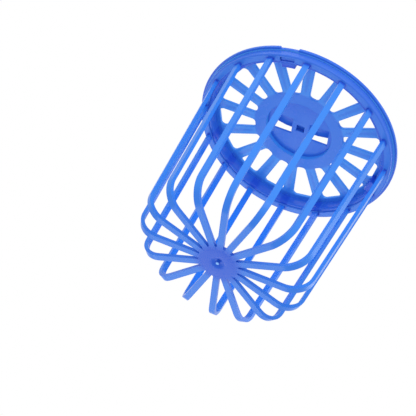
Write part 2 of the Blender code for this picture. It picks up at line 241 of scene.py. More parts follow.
class LidSizes(bpy.types.PropertyGroup):
    """What a user may change on the lid."""

    window_inner: FloatProperty(
        name="Window Inner Radius", description="Radius at which the lid's windows start",
        default=0.02269, min=0.0205, max=0.026, unit="LENGTH")
    window_outer: FloatProperty(
        name="Window Outer Radius", description="Radius at which the lid's windows end",
        default=0.0414, min=0.036, max=0.0420, unit="LENGTH")
    window_corner: FloatProperty(
        name="Window Corner", description="Radius of the corners of a window",
        default=0.0017, min=0.0005, max=0.0020, unit="LENGTH")
    spoke_inner_width: FloatProperty(
        name="Spoke Inner Width", description="Width of a spoke at its inner end",
        default=0.0047, min=0.003, max=0.0055, unit="LENGTH")
    spoke_outer_width: FloatProperty(
        name="Spoke Outer Width", description="Width of a spoke at its outer end",
        default=0.0055, min=0.003, max=0.009, unit="LENGTH")
    spoke_ridge: FloatProperty(
        name="Spoke Ridge", description="Height of the faint ridge under each spoke",
        default=0.00025, min=0.0, max=0.0005, unit="LENGTH")
    rounding: FloatProperty(
        name="Lid Rounding", description="Radius of the lid's edges",
        default=0.0003, min=0.00005, max=0.0005, unit="LENGTH")
    window_rounding: FloatProperty(
        name="Window Rounding", description="Radius of the edges round the windows",
        default=0.0003, min=0.00005, max=0.0004, unit="LENGTH")
    colour: FloatVectorProperty(
        name="Lid Colour", description="Colour of the lid's plastic where it is thin",
        subtype="COLOR", size=3, min=0.0, max=1.0, default=(0.052, 0.284, 0.830))
    deep_colour: FloatVectorProperty(
        name="Deep Lid Colour", description="Colour of the lid's plastic where it is thick",
        subtype="COLOR", size=3, min=0.0, max=1.0, default=(0.022, 0.098, 0.645))


class FinishSizes(bpy.types.PropertyGroup):
    """What a user may change in the plastic's finish."""

    roughness: FloatProperty(
        name="Roughness", description="Middle roughness of the moulded surface",
        default=0.26, min=0.05, max=1.0, subtype="FACTOR")
    mottle: FloatProperty(
        name="Mottle", description="How much the pigment varies over the moulding",
        default=0.12, min=0.0, max=0.5, subtype="FACTOR")
    grain_depth: FloatProperty(
        name="Grain Depth", description="Depth of the mould's fine grain",
        default=0.00002, min=0.0, max=0.0002, unit="LENGTH")


class StageSizes(bpy.types.PropertyGroup):
    """What a user may change in the studio."""

    ambient: FloatProperty(
        name="Ambient", description="Light that comes from all round",
        default=0.88, min=0.0, max=1.0)
    key_power: FloatProperty(
        name="Key Power", description="Power of the large soft lamp on the camera's side",
        default=2.3, min=0.0, unit="POWER")
    fill_power: FloatProperty(
        name="Fill Power", description="Power of the soft lamp that gives the flat undersides their sheen",
        default=1.5, min=0.0, unit="POWER")
    edge_power: FloatProperty(
        name="Edge Power", description="Power of the soft lamp behind, which picks out the edges",
        default=1.3, min=0.0, unit="POWER")
    top_power: FloatProperty(
        name="Top Power", description="Power of the soft lamp overhead",
        default=1.4, min=0.0, unit="POWER")
    lens: FloatProperty(
        name="Lens", description="Focal length on a 36 mm sensor",
        default=118.361, min=20.0, subtype="DISTANCE_CAMERA")
    floor_steps: IntProperty(
        name="Floor Steps", description="Number of sides of the round floor",
        default=64, min=12)


class Wire:
    """A number inside a material that Python's own signs work on."""

    def __init__(self, tree, socket):
        self.tree = tree
        self.socket = socket

    def maths(self, operation, first, second):
        """One Math node on two numbers or wires."""
        node = self.tree.nodes.new("ShaderNodeMath")
        node.operation = operation
        for slot, value in zip(node.inputs, (first, second)):
            if isinstance(value, Wire):
                self.tree.links.new(value.socket, slot)
            else:
                slot.default_value = value
        return Wire(self.tree, node.outputs[0])

    def __add__(self, other):
        return self.maths("ADD", self, other)

    def __sub__(self, other):
        return self.maths("SUBTRACT", self, other)

    def __mul__(self, other):
        return self.maths("MULTIPLY", self, other)

    def larger(self, other):
        return self.maths("MAXIMUM", self, other)

    def power(self, other):
        return self.maths("POWER", self, other)

    def turn(self, other):
        return self.maths("ARCTAN2", self, other)

    def cosine(self):
        return self.maths("COSINE", self, 0.0)


class Shading:
    """A material's or world's nodes, cleared and ready to be filled."""

    def __init__(self, owner):
        owner.use_nodes = True
        self.tree = owner.node_tree
        self.tree.nodes.clear()

    def node(self, kind, settings=None, values=None):
        """Adds a node, then sets its settings, then fills or links its sockets."""
        made = self.tree.nodes.new(kind)
        for name, value in (settings or {}).items():
            if name == "stops":
                for stop, (place, colour) in zip(made.color_ramp.elements, value):
                    stop.position = place
                    stop.color = colour
            else:
                setattr(made, name, value)
        for name, value in (values or {}).items():
            if isinstance(value, Wire):
                self.tree.links.new(value.socket, made.inputs[name])
            elif isinstance(value, bpy.types.NodeSocket):
                self.tree.links.new(value, made.inputs[name])
            else:
                made.inputs[name].default_value = value
        return made

    def wire(self, socket):
        return Wire(self.tree, socket)

    def ramp(self, wire, start, end):
        """A smooth climb from 0 at one value to 1 at another."""
        made = self.node("ShaderNodeMapRange", {"interpolation_type": "SMOOTHSTEP"},
                         {"Value": wire, "From Min": start, "From Max": end})
        return self.wire(made.outputs[0])

    def zone(self, *spans):
        """1 inside a zone and 0 outside it, from spans of a wire and the values that it climbs between."""
        inside = self.ramp(*spans[0])
        for span in spans[1:]:
            inside = inside * self.ramp(*span)
        return inside

    def near(self, place, point, start, end):
        """A climb from 0 to 1 towards a point."""
        gap = self.node("ShaderNodeVectorMath", {"operation": "DISTANCE"}, {0: place, 1: point})
        return self.ramp(self.wire(gap.outputs["Value"]), start, end)

    def mixed(self, factor, first, second, blend="MIX", clamp=True):
        """One colour blended into another."""
        made = self.node("ShaderNodeMix", {"data_type": "RGBA", "blend_type": blend, "clamp_factor": clamp},
                         {0: factor, 6: first, 7: second})
        return made.outputs[2]

    def parts(self, place):
        """The three numbers of a place."""
        split = self.node("ShaderNodeSeparateXYZ", None, {0: place})
        return [self.wire(socket) for socket in split.outputs]


def off_axis(x, y):
    """How far a shaded point lies from the axis."""
    return (x * x + y * y).power(0.5)


def at_ribs(shading, x, y, start=0.55, end=0.93):
    """1 in line with a rib and 0 between two of them."""
    return shading.ramp((y.turn(x) * RIB_COUNT).cosine(), start, end)


def basket_thickness_and_painted_light(shading, x, y, z):
    """How deep the basket's colour is at each point, and how much painted sheen it gets there.

    It is deepest in the hub, which is thick, and where the ribs meet the rim, where the depth is painted
    shadow.
    The painted sheen is on the rim alone.
    """
    shade = BASKET_SHADE
    out = off_axis(x, y)
    rim = (shading.ramp(z, BASKET_DEPTH - 0.0042, BASKET_DEPTH - 0.0004) * shade["rim"]
           + shading.ramp(out, RIM_RADIUS - 0.0008, RIM_RADIUS - 0.0004) * shade["wall"])
    hub = shading.zone((out, HUB_SHADE * 2, HUB_SHADE),
                       (z, HUB_TOP + 0.0025, HUB_TOP + 0.0015)) * shade["hub"]
    run = shading.ramp(z, HUB_TOP + 0.0030, HUB_TOP) * shade["run"]
    # Painted shadow where the ribs meet the rim, in line with each rib
    painted_joint_shadow = shading.zone((out, SLOT_OUTER + 0.0005, SLOT_OUTER - 0.0008),
                         (out, FLOOR_INNER + 0.0001, FLOOR_INNER + 0.0008),
                         (z, BASKET_DEPTH - 0.0015, BASKET_DEPTH - 0.0004))
    thick = rim.larger(hub).larger(run) + painted_joint_shadow * at_ribs(shading, x, y) * shade["painted_joint_shadow"]
    # Painted sheen over the rim
    return thick, shading.ramp(z, BASKET_DEPTH - 0.0012, BASKET_DEPTH + 0.0003) * RIM_PAINTED_SHEEN


def thick_lug(shading, x, y, z):
    """1 at the lugs and their roots, and 0 elsewhere."""
    out = off_axis(x, y)
    around = shading.ramp(((y.turn(x) - math.radians(LOCK_ANGLES[0])) * len(LOCK_ANGLES)).cosine(),
                          0.965, 0.974)
    outside = shading.ramp(out, FLOOR_INNER, FLOOR_INNER + 0.0001)
    inside = shading.ramp(out, SKIRT_SHADE, SKIRT_SHADE - 0.0002)
    low = shading.ramp(z, LUG_BOTTOM + 0.0016, LUG_BOTTOM + 0.0014)
    root = shading.zone((z, PLATE_BOTTOM - 0.0001, PLATE_BOTTOM - 0.0003),
                        (out, SKIRT_SHADE + 0.0001, SKIRT_SHADE))
    return around * outside.larger(inside) * low.larger(root)


def lid_thickness_and_painted_light(shading, x, y, z):
    """How deep the lid's colour is at each point, and how much painted sheen it gets there.

    It is deepest at the lugs and the brim, which are thick. In the skirt, most towards its foot, at the spoke
    roots and in the ring between the windows and the skirt, the depth is painted shade; painted light makes
    the recess wall and the brim's underside paler. The painted sheen is under the brim alone.
    """
    shade = LID_SHADE
    out = off_axis(x, y)
    plate = (shading.ramp(out, SPOKE_START, SPOKE_START - 0.0014) * shade["plate"]
             + shading.ramp(z, PLATE_TOP + 0.0001, PLATE_TOP + 0.0005) * shade["boss"])
    # Painted shade on the skirt, deepening towards its foot
    foot = shading.ramp(z, PLATE_BOTTOM - 0.0006, PLATE_BOTTOM - 0.0032) * shade["foot"] + shade["skirt"]
    skirt = shading.zone((out, FLOOR_INNER + 0.0007, FLOOR_INNER),
                         (z, PLATE_BOTTOM, PLATE_BOTTOM - 0.0002)) * foot
    brim = shading.ramp(out, RIM_RADIUS + 0.0003, RIM_RADIUS + 0.0007) * shade["brim"]
    # Painted shade at the roots of the spokes, in line with the ribs
    root = at_ribs(shading, x, y) * shading.ramp(out, SPOKE_END - 0.0014, SPOKE_END + 0.0014)
    root = root * shading.ramp(out, FLOOR_INNER + 0.0007, FLOOR_INNER) * shade["root"]
    spoke = at_ribs(shading, x, y, 0.86, 0.99) * shading.ramp(out, SPOKE_START, SPOKE_START + 0.0026)
    spoke = spoke * shading.ramp(out, SPOKE_END + 0.0010, SPOKE_END - 0.0020) * shade["spoke"]
    # Painted shade on the ring between the windows and the skirt
    ring = shading.zone((out, SPOKE_END, SPOKE_END + 0.0008), (out, SKIRT_SHADE + 0.0003, SKIRT_SHADE),
                        (z, PLATE_BOTTOM - 0.0003, PLATE_BOTTOM - 0.0001)) * shade["ring"]
    # Painted light: the recess wall round the boss made paler, where it lies in shade
    step = shading.zone((z, PLATE_BOTTOM, PLATE_BOTTOM + 0.0003),
                        (z, BOSS_BOTTOM - 0.0001, BOSS_BOTTOM - 0.0004),
                        (out, BOSS_SHADE + 0.0004, BOSS_SHADE)) * LID_PAINTED_LIGHT["step"]
    # Painted light: the brim's underside made paler, where it lies in shade
    under = shading.zone((out, FLOOR_INNER + 0.0003, FLOOR_INNER + 0.0007),
                         (out, RIM_RADIUS + 0.0005, RIM_RADIUS + 0.0001),
                         (z, BRIM_BOTTOM + 0.0006, BRIM_BOTTOM + 0.0004)) * LID_PAINTED_LIGHT["under"]
    thickest = plate.larger(skirt).larger(brim).larger(thick_lug(shading, x, y, z))
    # Painted sheen under the brim
    painted_sheen = shading.zone((out, FLOOR_INNER - 0.0003, FLOOR_INNER + 0.0001),
                         (out, RIM_RADIUS + 0.0007, RIM_RADIUS + 0.0003),
                         (z, BRIM_BOTTOM - 0.0008, BRIM_BOTTOM + 0.0006))
    return thickest + root + spoke - step - under + ring, painted_sheen


def basket_marks(shading, place, tint):
    """Tints that the depth of colour doesn't give.

    A painted reflection on the ribs' inward faces, the painted shade of a pit, and the nub's paler tip.
    """
    x, y, z = shading.parts(place)
    # Painted reflection: the ribs' inward faces made bluer, as if they reflected the blue inside and not the
    # white round them
    inward = shading.zone((off_axis(x, y) - z * RIB_LEAN, RIB_FACE, RIB_FACE - 0.0003), (z, 0.0100, 0.0180),
                          (z, BASKET_DEPTH - 0.0004, BASKET_DEPTH - 0.0012))
    tint = shading.mixed(inward * PAINTED_INWARD_REFLECTION_WEIGHT, tint, PAINTED_INWARD_REFLECTION)
    # Painted shade of a pit beside the nub; the mesh has no pit there
    tint = shading.mixed(shading.near(place, (*PAINTED_PIT_SPOT, PAINTED_PIT_HEIGHT), 0.0014, 0.0007), tint, PAINTED_PIT_SHADE)
    return shading.mixed(shading.near(place, (*NUB, 0.0), 0.0011, 0.0006), tint, NUB_COLOUR)


def moulded_plastic(name, thickness, sizes, finish):
    """Semi-gloss plastic that looks deeper where it is thick, with uneven pigment and a fine mould grain.

    Its colour also holds painted shade, painted light and a painted sheen.
    """
    material = bpy.data.materials.new(name)
    shading = Shading(material)
    place = shading.node("ShaderNodeTexCoord").outputs["Object"]
    cloud, speck, grain = (
        shading.wire(shading.node("ShaderNodeTexNoise", {"noise_dimensions": "3D"},
                                  {"Vector": place, "Scale": scale, "Detail": detail}).outputs[0])
        for scale, detail in NOISES)
    thick, painted_sheen = thickness(shading, *shading.parts(place))
    # Besides thickness and mottle, the depth adds painted shade and takes some away as painted light
    depth = thick + (cloud - 0.5) * (finish.mottle * 2.0) + (speck - 0.5) * finish.mottle + BASE_SHADE
    tint = shading.mixed(depth.maths("MINIMUM", depth, 1.0), (*sizes.colour, 1.0), (*sizes.deep_colour, 1.0),
                         clamp=False)
    # Adds the painted sheen
    tint = shading.mixed(painted_sheen, tint, PAINTED_SHEEN_COLOUR, "ADD")
    if thickness is basket_thickness_and_painted_light:
        tint = basket_marks(shading, place, tint)
    roughness = (speck - 0.5) * 0.10 + (cloud - 0.5) * 0.10 + finish.roughness
    bump = shading.node("ShaderNodeBump", None,
                        {"Strength": 0.25, "Distance": finish.grain_depth, "Height": grain + cloud * 2.0})
    shader = shading.node("ShaderNodeBsdfPrincipled", None,
                          {"Base Color": tint, "Roughness": roughness, "IOR": 1.49,
                           "Specular IOR Level": 0.20, "Normal": bump.outputs["Normal"]})
    shading.node("ShaderNodeOutputMaterial", None, {"Surface": shader.outputs[0]})
    return material


def shared_plastic(body):
    """The basket's or the lid's plastic, made once."""
    name = "moulded_" + body
    if name in bpy.data.materials:
        return bpy.data.materials[name]
    scene = bpy.context.scene
    thickness, sizes = {"basket": (basket_thickness_and_painted_light, scene.food_basket), "lid": (lid_thickness_and_painted_light, scene.food_lid)}[body]
    return moulded_plastic(name, thickness, sizes, scene.food_finish)


def outline(bm, points, closed=True):
    """A chain of edges through some points, and the vertices on it."""
    verts = [bm.verts.new(point) for point in points]
    ends = verts[1:] + verts[:1] if closed else verts[1:]
    return verts + [bm.edges.new(pair) for pair in zip(verts, ends)]


def upright(profile):
    """(radius, height) pairs as points in the XZ plane."""
    return [(radius, 0, height) for radius, height in profile]


def polar(radius, angle_deg, height=0.0):
    """A point at a radius and an angle about the axis."""
    angle = math.radians(angle_deg)
    return Vector((radius * math.cos(angle), radius * math.sin(angle), height))


def reach(vert):
    """A vertex's distance from the axis."""
    return math.hypot(vert.co.x, vert.co.y)


def welded(bm):
    """Merges doubled vertices, drops what has no area and turns the faces outwards."""
    bmesh.ops.remove_doubles(bm, verts=bm.verts, dist=WELD)
    bmesh.ops.dissolve_degenerate(bm, edges=bm.edges, dist=WELD)
    loose = [edge for edge in bm.edges if not edge.link_faces]
    bmesh.ops.delete(bm, geom=loose, context="EDGES")
    bmesh.ops.recalc_face_normals(bm, faces=bm.faces)
    return bm


def turned(profile, closed=True):
    """Spins an outline of (radius, height) points right round the axis."""
    bm = bmesh.new()
    geom = outline(bm, upright(profile), closed)
    bmesh.ops.spin(bm, geom=geom, cent=(0, 0, 0), axis=AXIS, angle=math.tau,
                   steps=RING_STEPS, use_merge=True)
    return welded(bm)


def arc_block(profile, low, high):
    """A solid with one outline all along an arc, on the same grid of angles as the full rings."""
    grid = 360.0 / RING_STEPS
    first = math.floor(low / grid) + 1
    last = math.ceil(high / grid) - 1
    stops = [low] + [grid * i for i in range(first, last + 1)] + [high]
    bm = bmesh.new()
    geom = outline(bm, upright(profile))
    bmesh.ops.rotate(bm, verts=bm.verts, cent=(0, 0, 0), matrix=Matrix.Rotation(math.radians(low), 3, "Z"))
    for here, there in zip(stops, stops[1:]):
        geom = bmesh.ops.spin(bm, geom=geom, cent=(0, 0, 0), axis=AXIS,
                              angle=math.radians(there - here), steps=1)["geom_last"]
    bmesh.ops.holes_fill(bm, edges=bm.edges, sides=0)
    return welded(bm)


def block(inner, outer, bottom, top):
    """The outline of a plain rectangular bar in plan round the axis."""
    return [(inner, bottom), (outer, bottom), (outer, top), (inner, top)]


def corner_edges(bm, keep=None):
    """Edges where two faces meet at an outer corner."""
    return [edge for edge in bm.edges
            if edge.is_manifold and edge.is_convex and edge.calc_face_angle() > math.radians(SHARP_DEG)
            and (keep is None or all(keep(vert) for vert in edge.verts))]


def soften(bm, edges, radius, segments=3):
    """Rounds some edges, and keeps the flats beside them flat."""
    made = set(bmesh.ops.bevel(bm, geom=edges, offset=radius, offset_type="OFFSET", segments=segments,
                               affect="EDGES", profile=0.5, material=-1, clamp_overlap=True)["faces"])
    for face in made:
        for edge in face.edges:
            if sum(other in made for other in edge.link_faces) == 1:
                edge.smooth = False
    return bm


def joined(bm, *others):
    """Adds finished solids to a mesh."""
    for other in others:
        mesh = bpy.data.meshes.new("part")
        other.to_mesh(mesh)
        other.free()
        bm.from_mesh(mesh)
        bpy.data.meshes.remove(mesh)
    return bm


def finished(name, bm, body, nodes):
    """Adds one moulded piece that rides on a body and stands for some nodes of the frame."""
    for face in bm.faces:
        face.smooth = True
    for edge in bm.edges:
        if edge.is_manifold and edge.calc_face_angle() > math.radians(SHARP_DEG):
            edge.smooth = False
    mesh = bpy.data.meshes.new(name)
    bm.to_mesh(mesh)
    bm.free()
    mesh.materials.append(shared_plastic(body))
    thing = bpy.data.objects.new(name, mesh)
    bpy.context.scene.collection.objects.link(thing)
    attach(thing, body)
    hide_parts(*nodes)


def rounded(corners, radius, steps):
    """Points of a flat outline whose corners are arcs."""
    points = []
    for i, corner in enumerate(corners):
        here = Vector(corner)
        back = (Vector(corners[i - 1]) - here).normalized()
        ahead = (Vector(corners[(i + 1) % len(corners)]) - here).normalized()
        half = math.acos(back.dot(ahead)) / 2
        centre = here + (back + ahead).normalized() * (radius / math.sin(half))
        first = here + back * (radius / math.tan(half)) - centre
        last = here + ahead * (radius / math.tan(half)) - centre
        swing = first.angle_signed(last)
        points += [centre + Matrix.Rotation(-swing * k / steps, 2) @ first for k in range(steps + 1)]
    return points


class FOODBASKET_OT_rim(bpy.types.Operator):
    """Moulds the basket's flanged rim with the ledges, slot and rebates of the twist lock"""

    bl_idname = "food_basket.rim"
    bl_label = "Basket Rim"

    def execute(self, context):
        sizes = context.scene.food_basket
        wall = turned([(SLOT_OUTER, BASKET_DEPTH), (RIM_RADIUS, BASKET_DEPTH), (RIM_RADIUS, RIM_TOP),
                       (WALL_INNER, RIM_TOP), (WALL_INNER, FLOOR_TOP), (SLOT_OUTER, FLOOR_TOP)])
        soften(wall, corner_edges(wall, lambda vert: vert.co.z < BASKET_DEPTH + WELD and
                                  reach(vert) > RIM_RADIUS - WELD), sizes.flange_rounding, 6)
        soften(wall, corner_edges(wall, lambda vert: vert.co.z > RIM_TOP - WELD), sizes.rim_rounding)
        beyond = [(SLOT_OUTER, BASKET_DEPTH), (SLOT_OUTER, FLOOR_TOP), (FLOOR_INNER, FLOOR_TOP)]
        plain = [(FLOOR_INNER + HOLE_EDGE, BASKET_DEPTH), *beyond, (FLOOR_INNER, BASKET_DEPTH + HOLE_EDGE)]
        rebated = [(FLOOR_INNER + REBATE_DEPTH, BASKET_DEPTH), *beyond, (FLOOR_INNER, FLOOR_TOP - HOLE_EDGE),
                   (FLOOR_INNER + REBATE_DEPTH, FLOOR_TOP - HOLE_EDGE)]
        start = SLOT_SPAN[1] - 360.0
        for rebate in REBATE_SPANS:
            joined(wall, arc_block(plain, start, rebate[0]), arc_block(rebated, *rebate))
            start = rebate[1]
        joined(wall, arc_block(plain, start, SLOT_SPAN[0]))
        for middle in LOCK_ANGLES:
            ledge = arc_block(block(WALL_INNER - LEDGE_REACH, WALL_INNER + BURIED, LEDGE_BOTTOM, LEDGE_TOP),
                              middle - LEDGE_HALF, middle + LEDGE_HALF)
            joined(wall, soften(ledge, corner_edges(ledge), LEDGE_ROUNDING))
        finished("moulded_basket_rim", wall, "basket", ["basket_rim"])
        return {"FINISHED"}


class FOODBASKET_OT_ribs(bpy.types.Operator):
    """Moulds the sixteen bent ribs from the hub out along the bottom and up to the rim"""

    bl_idname = "food_basket.ribs"
    bl_label = "Basket Ribs"

    def one_rib(self, sizes):
        """The first rib, along +X."""
        half = sizes.rib_width / 2
        thick = sizes.rib_thickness
        wall = Vector((RIB_TOP_RADIUS - FOOT_RADIUS, 0, BASKET_DEPTH - thick / 2)).normalized()
        turn = math.atan2(wall.z, wall.x)
        bend_x = FOOT_RADIUS - (sizes.bend_radius * math.tan(turn / 2))
        centre = (bend_x, 0, thick / 2 + sizes.bend_radius)
        buried = HUB_RADIUS - RIB_BURIED
        bm = bmesh.new()
        geom = outline(bm, [(buried, -half, RIB_LIFT), (buried, half, RIB_LIFT),
                            (buried, half, thick), (buried, -half, thick)])
        for reach_x in (HUB_RADIUS - RIB_BURIED / 2, bend_x):
            geom = bmesh.ops.extrude_edge_only(
                bm, edges=[item for item in geom if isinstance(item, bmesh.types.BMEdge)])["geom"]
            for vert in (item for item in geom if isinstance(item, bmesh.types.BMVert)):
                vert.co.x = reach_x
                vert.co.z = 0.0 if vert.co.z < thick / 2 else thick
            geom = [item for item in geom if not isinstance(item, bmesh.types.BMFace)]
        geom = bmesh.ops.spin(bm, geom=geom, cent=centre, axis=(0, -1, 0), angle=turn, steps=20)["geom_last"]
        geom = bmesh.ops.extrude_edge_only(
            bm, edges=[item for item in geom if isinstance(item, bmesh.types.BMEdge)])["geom"]
        top = BASKET_DEPTH + BURIED
        for vert in (item for item in geom if isinstance(item, bmesh.types.BMVert)):
            vert.co += wall * ((top - vert.co.z) / wall.z)
        soften(bm, corner_edges(bm), sizes.rib_rounding, 4)
        bmesh.ops.holes_fill(bm, edges=bm.edges, sides=0)
        return welded(bm)

    def execute(self, context):
        shape = self.one_rib(context.scene.food_basket)
        for i in range(RIB_COUNT):
            copy = shape.copy()
            bmesh.ops.rotate(copy, verts=copy.verts, cent=(0, 0, 0),
                             matrix=Matrix.Rotation(math.radians(RIB_PITCH * i), 3, "Z"))
            finished(f"moulded_rib_{i + 1:02d}", copy, "basket", [f"rib_{i + 1:02d}"])
        shape.free()
        return {"FINISHED"}


class FOODBASKET_OT_hub(bpy.types.Operator):
    """Moulds the disc where the ribs meet, with its dimple and gate nub"""

    bl_idname = "food_basket.hub"
    bl_label = "Basket Hub"

    def execute(self, context):
        sizes = context.scene.food_basket
        web = HUB_RADIUS + sizes.web_depth
        dish = [(DISH_FLAT + DISH_SLOPE * k / DISH_STEPS,
                 sizes.dish_depth * (0.5 + 0.5 * math.cos(math.pi * k / DISH_STEPS)))
                for k in range(DISH_STEPS + 1)]
        bm = turned([(0, HUB_TOP), (web - WEB_EDGE, HUB_TOP), (web, HUB_TOP - WEB_EDGE), (web, WEB_EDGE),
                     (web - 0.0002, 0.00006), (HUB_RADIUS - 0.0001, 0.00003), (HUB_RADIUS - 0.0003, 0)]
                    + dish[::-1] + [(0, sizes.dish_depth)], closed=False)
        stub = bmesh.new()
        bmesh.ops.create_cone(stub, cap_ends=True, segments=20, radius1=NUB_RADII[0], radius2=NUB_RADII[1],
                              depth=NUB_HEIGHT)
        bmesh.ops.translate(stub, verts=stub.verts, vec=(*NUB, NUB_MIDDLE))
        joined(bm, soften(stub, corner_edges(stub), NUB_ROUNDING))
        finished("moulded_basket_hub", bm, "basket", ["basket_hub"])
        return {"FINISHED"}


class FOODBASKET_OT_crown(bpy.types.Operator):
    """Moulds the lid's skirt with its three lugs and two roots, and its brim with a notch"""

    bl_idname = "food_basket.crown"
    bl_label = "Lid Rim"

    def execute(self, context):
        sizes = context.scene.food_lid
        crown = turned([(GRILLE_OUTER, PLATE_TOP), (SKIRT_RADIUS, PLATE_TOP), (SKIRT_RADIUS, SKIRT_BOTTOM),
                        (SKIRT_INNER + FOOT_TAPER, SKIRT_BOTTOM), (SKIRT_INNER, SKIRT_BOTTOM + FOOT_TAPER),
                        (SKIRT_INNER, PLATE_BOTTOM), (GRILLE_OUTER, PLATE_BOTTOM)])
        soften(crown, corner_edges(crown, lambda vert: reach(vert) > SKIRT_RADIUS - WELD * 5), SKIRT_ROUNDING)
        soften(crown, corner_edges(crown, lambda vert: vert.co.z < BRIM_BOTTOM and
                                   reach(vert) < SKIRT_INNER + FOOT_TAPER + WELD * 5), FOOT_ROUNDING)
        collar = turned(block(SKIRT_INNER + 0.0005, LID_RADIUS - NOTCH_DEPTH,
                              BRIM_BOTTOM + COLLAR_STEP, BRIM_TOP - COLLAR_STEP))
        outside = corner_edges(collar, lambda vert: reach(vert) > SKIRT_RADIUS)
        joined(crown, soften(collar, outside, COLLAR_ROUNDING))
        brim = arc_block(block(SKIRT_INNER + BURIED, LID_RADIUS, BRIM_BOTTOM, BRIM_TOP),
                         LOCK_ANGLES[2] + NOTCH_HALF, LOCK_ANGLES[2] + 360.0 - NOTCH_HALF)
        joined(crown, soften(brim, corner_edges(brim), sizes.rounding))
        for middle in LOCK_ANGLES:
            lug = arc_block(block(SKIRT_INNER + BURIED, LUG_RADIUS, LUG_BOTTOM, LUG_TOP),
                            middle - LUG_HALF, middle + LUG_HALF)
            joined(crown, soften(lug, corner_edges(lug), LUG_ROUNDING))
        for middle in (LOCK_ANGLES[0], LOCK_ANGLES[2]):
            root = arc_block(block(sizes.window_outer - 0.0001, SKIRT_INNER + 0.0005,
                                   SKIRT_BOTTOM, PLATE_BOTTOM + 0.0007),
                             middle - LUG_HALF, middle + LUG_HALF)
            joined(crown, soften(root, corner_edges(root), FOOT_ROUNDING))
        finished("moulded_lid_rim", crown, "lid", ["lid_rim"])
        return {"FINISHED"}


class FOODBASKET_OT_grille(bpy.types.Operator):
    """Moulds the lid's plate, with sixteen rounded windows between its spokes"""

    bl_idname = "food_basket.grille"
    bl_label = "Lid Spokes"

    def window(self, sizes):
        """Points of the first window's outline, between the first two spokes."""
        ends = []
        for radius, width in ((sizes.window_inner, sizes.spoke_inner_width),
                              (sizes.window_outer, sizes.spoke_outer_width)):
            edge = math.degrees(math.asin(width / 2 / radius))
            ends.append((polar(radius, edge).xy, polar(radius, RIB_PITCH - edge).xy))
        corners = [ends[0][0], ends[1][0], ends[1][1], ends[0][1]]
        radius = min(sizes.window_corner, (corners[0] - corners[3]).length * 0.45)
        return rounded(corners, radius, 8)

    def execute(self, context):
        sizes = context.scene.food_lid
        bm = bmesh.new()
        grid = 360.0 / RING_STEPS
        angles = [grid * i for i in range(RING_STEPS // RIB_COUNT + 1)]
        rim = [polar(GRILLE_OUTER, angle, PLATE_BOTTOM) for angle in angles]
        web = [polar(GRILLE_INNER, angle, PLATE_BOTTOM) for angle in reversed(angles)]
        outline(bm, rim + web)
        outline(bm, [(x, y, PLATE_BOTTOM) for x, y in self.window(sizes)])
        bmesh.ops.triangle_fill(bm, edges=bm.edges, use_beauty=True, normal=-AXIS)
        bmesh.ops.spin(bm, geom=list(bm.verts) + list(bm.edges) + list(bm.faces), cent=(0, 0, 0), axis=AXIS,
                       angle=math.radians(RIB_PITCH) * (RIB_COUNT - 1), steps=RIB_COUNT - 1,
                       use_duplicate=True)
        bmesh.ops.remove_doubles(bm, verts=bm.verts, dist=WELD)
        grown = bmesh.ops.extrude_face_region(bm, geom=list(bm.faces))["geom"]
        for vert in (item for item in grown if isinstance(item, bmesh.types.BMVert)):
            vert.co.z = PLATE_TOP
        low = sizes.window_inner + sizes.window_corner
        high = sizes.window_outer - sizes.window_corner
        for vert in bm.verts:
            off = math.degrees(math.atan2(vert.co.y, vert.co.x)) / RIB_PITCH
            if vert.co.z < PLATE_TOP - WELD and low < reach(vert) < high and abs(off - round(off)) > 0.01:
                vert.co.z += sizes.spoke_ridge
        welded(bm)
        soften(bm, corner_edges(bm, lambda vert: GRILLE_INNER + 0.0005 < reach(vert) < GRILLE_OUTER - 0.0005),
               sizes.window_rounding)
        finished("moulded_lid_spokes", bm, "lid", [f"lid_spoke_{i + 1:02d}" for i in range(RIB_COUNT)])
        return {"FINISHED"}


class FOODBASKET_OT_boss(bpy.types.Operator):
    """Moulds the lid's raised middle, with the two slits and the square core"""

    bl_idname = "food_basket.boss"
    bl_label = "Lid Hub"

    def execute(self, context):
        sizes = context.scene.food_lid
        bm = bmesh.new()
        grid = 360.0 / RING_STEPS
        outline(bm, [polar(RECESS_RADIUS, grid * i, BOSS_BOTTOM) for i in range(RING_STEPS)])
        for low, high, half in ((STEM_HALF, SLIT_OUTER, SLIT_HALF), (-SLIT_OUTER, -STEM_HALF, SLIT_HALF),
                                (-CORE_HALF_LENGTH, CORE_HALF_LENGTH, CORE_HALF_WIDTH)):
            outline(bm, [(low, -half, BOSS_BOTTOM), (high, -half, BOSS_BOTTOM),
                         (high, half, BOSS_BOTTOM), (low, half, BOSS_BOTTOM)])
        bmesh.ops.triangle_fill(bm, edges=bm.edges, use_beauty=True, normal=-AXIS)
        grown = bmesh.ops.extrude_face_region(bm, geom=list(bm.faces))["geom"]
        for vert in (item for item in grown if isinstance(item, bmesh.types.BMVert)):
            vert.co.z = BOSS_TOP
        rim_faces = [face for face in bm.faces if abs(face.normal.z) < 0.5
                     and all(reach(vert) > RECESS_RADIUS - WELD for vert in face.verts)]
        bmesh.ops.delete(bm, geom=rim_faces, context="FACES_ONLY")
        joined(bm, turned([(RECESS_RADIUS, BOSS_BOTTOM), (RECESS_RADIUS, PLATE_BOTTOM),
                           (GRILLE_INNER, PLATE_BOTTOM), (GRILLE_INNER, PLATE_TOP), (BOSS_RADIUS, PLATE_TOP),
                           (BOSS_RADIUS, BOSS_TOP), (RECESS_RADIUS, BOSS_TOP)], closed=False))
        welded(bm)
        soften(bm, corner_edges(bm, lambda vert: reach(vert) < GRILLE_INNER - 0.0002), sizes.window_rounding)
        finished("moulded_lid_hub", bm, "lid", ["lid_hub"])
        return {"FINISHED"}


